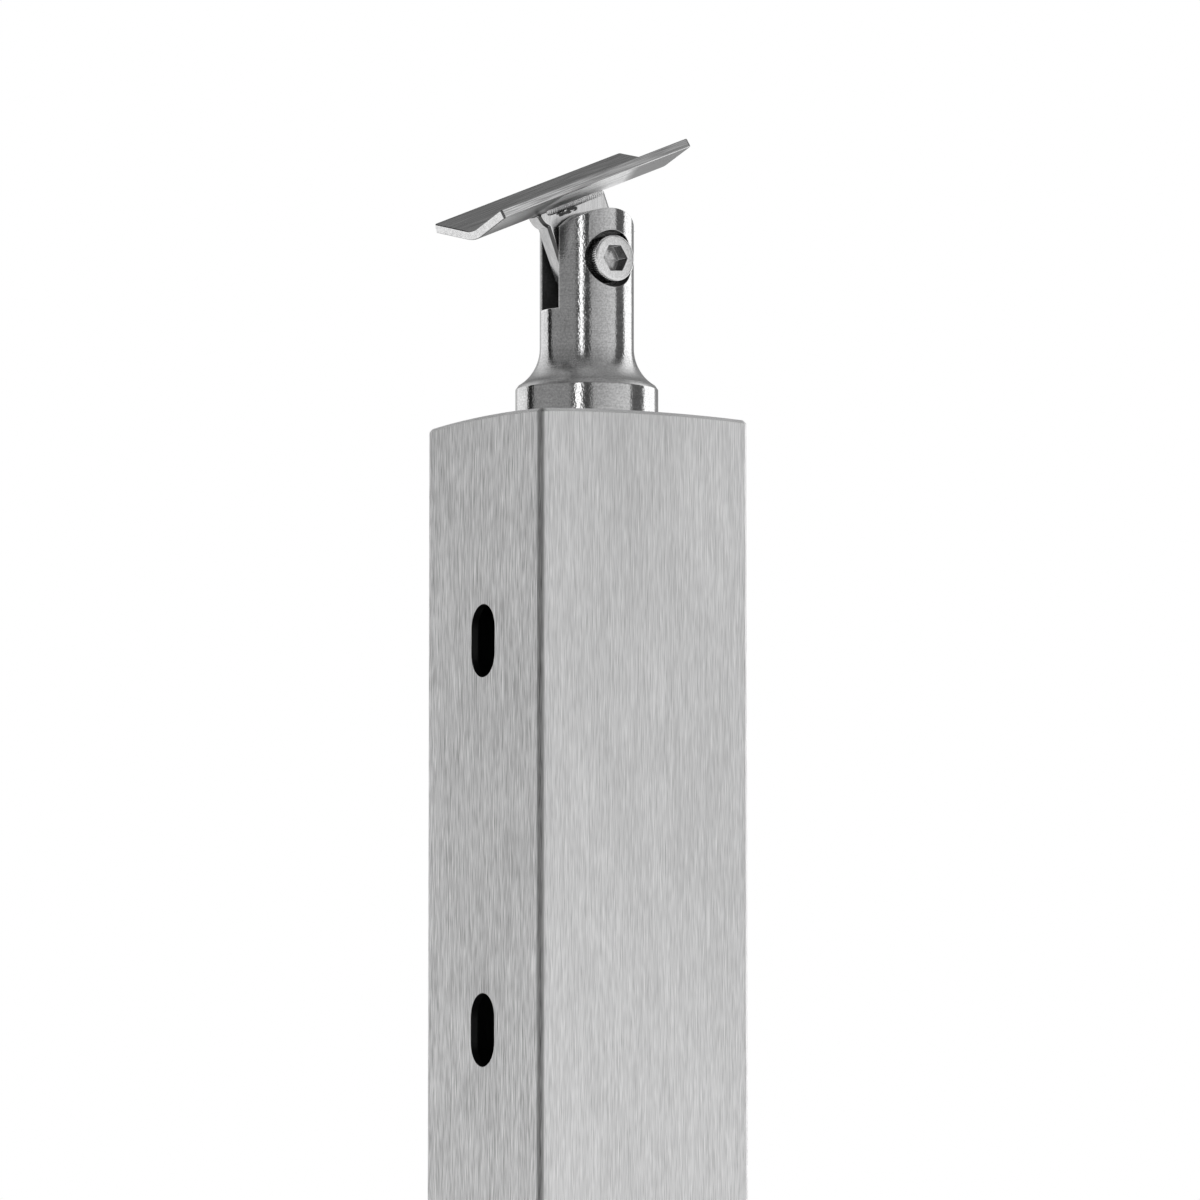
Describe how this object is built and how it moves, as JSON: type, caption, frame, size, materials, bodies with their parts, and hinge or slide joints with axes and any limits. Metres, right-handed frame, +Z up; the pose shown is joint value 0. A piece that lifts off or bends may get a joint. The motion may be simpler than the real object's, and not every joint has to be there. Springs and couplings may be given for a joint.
{
  "type": "cable railing post",
  "caption": "Square stainless cable railing post on a base plate, slotted for cables, with a swivelling fork and a tilting handrail saddle on its closed top.",
  "frame": {"origin": "centre of the base plate's underside, on the floor", "axes": "+Z up the post; the cables and the handrail run along X, and the +X end of the saddle is the higher one; the head of the pivot screw faces -Y"},
  "size_m": [0.1016, 0.1016, 0.9124],
  "materials": {
    "brushed_post": "brushed lengthwise",
    "turned_steel": "fine turned, half polished",
    "saddle_steel": "brushed lengthwise",
    "screw_steel": "bright machined",
    "weld_steel": "cleaned weld bead"
  },
  "bodies": {
    "post": {"post_tube": "brushed_post", "cap_plate": "brushed_post", "cap_nut": "screw_steel", "fork_stud": "screw_steel", "base_plate": "brushed_post", "base_weld": "weld_steel"},
    "bracket": {"fork": "turned_steel", "pivot_screw": "screw_steel"},
    "saddle": {"tongue": "saddle_steel", "saddle_plate": "saddle_steel", "saddle_weld": "weld_steel"}
  },
  "joints": [
    {"name": "fork_swivel", "type": "hinge", "parent": "post", "child": "bracket", "pos_m": [0, 0, 0.8512], "axis": [0, 0, 1], "range_deg": [-180, 180]},
    {"name": "saddle_tilt", "type": "hinge", "parent": "bracket", "child": "saddle", "pos_m": [0, 0, 0.8852], "axis": [0.0872, -0.9962, 0], "range_deg": [-102, 57]}
  ]
}
